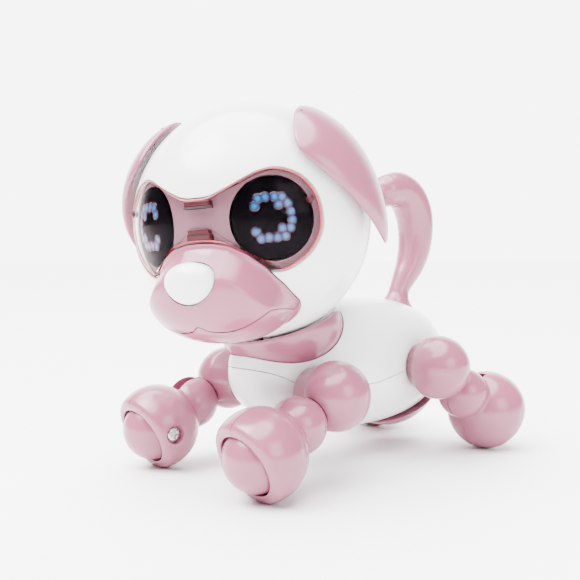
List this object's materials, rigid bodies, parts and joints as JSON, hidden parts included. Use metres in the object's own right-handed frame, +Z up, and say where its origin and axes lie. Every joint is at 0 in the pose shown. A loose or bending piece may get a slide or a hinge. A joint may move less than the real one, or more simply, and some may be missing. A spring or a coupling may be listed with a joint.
{
  "type": "robot dog toy",
  "caption": "Toy robot puppy with a domed goggled head, round lit eyes, hinged ears and legs, a swivelling tail and a free roller in each paw.",
  "frame": {"origin": "on the ground under the middle of the toy", "axes": "-Y is the way the torso faces, +X is the puppy's left side, +Z is up"},
  "size_m": [0.0795, 0.1331, 0.1131],
  "materials": {
    "white_gloss": "gloss injection-moulded white",
    "pink_gloss": "gloss injection-moulded pink",
    "face_plate_pink": "satin greyish pink behind the visor",
    "visor_clear_pink": "clear tinted, polished",
    "display_black": "gloss black lens with blue light dots",
    "circuit_board": "solder-mask green",
    "dark_plastic": "matte dark",
    "steel": "plated steel",
    "cell_steel": "button-cell can"
  },
  "bodies": {
    "torso": {"body_shell_upper": "white_gloss", "body_shell_lower": "white_gloss", "neck_collar": "pink_gloss", "battery_cover": "pink_gloss", "battery_cover_screw": "steel", "battery_spring": "steel", "button_cell_1": "cell_steel", "button_cell_2": "cell_steel", "button_cell_3": "cell_steel", "main_board": "circuit_board", "speaker": "dark_plastic", "front_left_hip_axle": "steel", "front_right_hip_axle": "steel", "rear_left_hip_axle": "steel", "rear_right_hip_axle": "steel"},
    "neck": {"neck_swivel": "white_gloss"},
    "head": {"head_shell_front": "white_gloss", "head_shell_rear": "white_gloss", "face_plate": "face_plate_pink", "visor": "visor_clear_pink", "eye_display_left": "display_black", "eye_display_right": "display_black", "led_board": "circuit_board", "muzzle_upper": "pink_gloss", "muzzle_jaw": "pink_gloss", "nose_switch": "dark_plastic", "neck_pin": "steel", "head_screw_left": "steel", "head_screw_right": "steel"},
    "left_ear": {"ear_left": "pink_gloss"},
    "right_ear": {"ear_right": "pink_gloss"},
    "nose": {"nose_button": "white_gloss"},
    "tail_body": {"tail": "pink_gloss", "tail_screw": "steel"},
    "switch_knob": {"power_switch": "dark_plastic"},
    "front_left_upper": {"front_left_upper_leg": "pink_gloss"},
    "front_left_lower": {"front_left_paw_outer": "pink_gloss", "front_left_paw_inner": "pink_gloss", "front_left_paw_screw": "steel"},
    "front_left_roller": {"front_left_paw_roller": "pink_gloss"},
    "front_right_upper": {"front_right_upper_leg": "pink_gloss"},
    "front_right_lower": {"front_right_paw_outer": "pink_gloss", "front_right_paw_inner": "pink_gloss", "front_right_paw_screw": "steel"},
    "front_right_roller": {"front_right_paw_roller": "pink_gloss"},
    "rear_left_upper": {"rear_left_upper_leg": "pink_gloss"},
    "rear_left_lower": {"rear_left_paw_outer": "pink_gloss", "rear_left_paw_inner": "pink_gloss", "rear_left_paw_screw": "steel"},
    "rear_left_roller": {"rear_left_paw_roller": "pink_gloss"},
    "rear_right_upper": {"rear_right_upper_leg": "pink_gloss"},
    "rear_right_lower": {"rear_right_paw_outer": "pink_gloss", "rear_right_paw_inner": "pink_gloss", "rear_right_paw_screw": "steel"},
    "rear_right_roller": {"rear_right_paw_roller": "pink_gloss"}
  },
  "joints": [
    {"name": "head_yaw", "type": "hinge", "parent": "torso", "child": "neck", "pos_m": [0, -0.02567, 0.0773], "axis": [0, 0, 1], "range_deg": [-65, 12]},
    {"name": "head_nod", "type": "hinge", "parent": "neck", "child": "head", "pos_m": [0, -0.02567, 0.0773], "axis": [0.8912, 0.451, 0.0487], "range_deg": [-8, 1.5]},
    {"name": "ear_left_swing", "type": "hinge", "parent": "head", "child": "left_ear", "pos_m": [0, -0.02567, 0.0773], "axis": [0.6277, 0.1159, 0.7698], "range_deg": [-20, 20]},
    {"name": "ear_right_swing", "type": "hinge", "parent": "head", "child": "right_ear", "pos_m": [0, -0.02567, 0.0773], "axis": [-0.5294, -0.4696, 0.7066], "range_deg": [-20, 20]},
    {"name": "nose_press", "type": "slide", "parent": "head", "child": "nose", "axis": [-0.4461, 0.8909, -0.0854], "range_m": [0, 0.0012], "stiffness_N_per_m": 180, "springref_m": -0.0015},
    {"name": "tail_swivel", "type": "hinge", "parent": "torso", "child": "tail_body", "pos_m": [0, 0.03893, 0.0487], "axis": [0, 0.2924, 0.9563], "range_deg": [-60, 60]},
    {"name": "power_slide", "type": "slide", "parent": "torso", "child": "switch_knob", "axis": [0, -1, 0], "range_m": [0, 0.0018]},
    {"name": "front_left_hip", "type": "hinge", "parent": "torso", "child": "front_left_upper", "pos_m": [0.0264, -0.01627, 0.0258], "axis": [1, 0, 0], "range_deg": [-15, 75]},
    {"name": "front_left_knee", "type": "hinge", "parent": "front_left_upper", "child": "front_left_lower", "pos_m": [0.0264, -0.03104, 0.01914], "axis": [1, 0, 0], "range_deg": [-20, 20]},
    {"name": "front_left_roll", "type": "hinge", "parent": "front_left_lower", "child": "front_left_roller", "pos_m": [0.0264, -0.04578, 0.01242], "axis": [1, 0, 0], "continuous": true},
    {"name": "front_right_hip", "type": "hinge", "parent": "torso", "child": "front_right_upper", "pos_m": [-0.0264, -0.01627, 0.0258], "axis": [1, 0, 0], "range_deg": [-15, 75]},
    {"name": "front_right_knee", "type": "hinge", "parent": "front_right_upper", "child": "front_right_lower", "pos_m": [-0.0264, -0.03104, 0.01914], "axis": [1, 0, 0], "range_deg": [-20, 20]},
    {"name": "front_right_roll", "type": "hinge", "parent": "front_right_lower", "child": "front_right_roller", "pos_m": [-0.0264, -0.04578, 0.01242], "axis": [1, 0, 0], "continuous": true},
    {"name": "rear_left_hip", "type": "hinge", "parent": "torso", "child": "rear_left_upper", "pos_m": [0.0264, 0.02993, 0.03004], "axis": [1, 0, 0], "range_deg": [-75, 15]},
    {"name": "rear_left_knee", "type": "hinge", "parent": "rear_left_upper", "child": "rear_left_lower", "pos_m": [0.0264, 0.04278, 0.02017], "axis": [1, 0, 0], "range_deg": [-30, 12]},
    {"name": "rear_left_roll", "type": "hinge", "parent": "rear_left_lower", "child": "rear_left_roller", "pos_m": [0.0264, 0.05695, 0.01232], "axis": [1, 0, 0], "continuous": true},
    {"name": "rear_right_hip", "type": "hinge", "parent": "torso", "child": "rear_right_upper", "pos_m": [-0.0264, 0.02993, 0.03004], "axis": [1, 0, 0], "range_deg": [-75, 15]},
    {"name": "rear_right_knee", "type": "hinge", "parent": "rear_right_upper", "child": "rear_right_lower", "pos_m": [-0.0264, 0.04278, 0.02017], "axis": [1, 0, 0], "range_deg": [-30, 12]},
    {"name": "rear_right_roll", "type": "hinge", "parent": "rear_right_lower", "child": "rear_right_roller", "pos_m": [-0.0264, 0.05695, 0.01232], "axis": [1, 0, 0], "continuous": true}
  ]
}
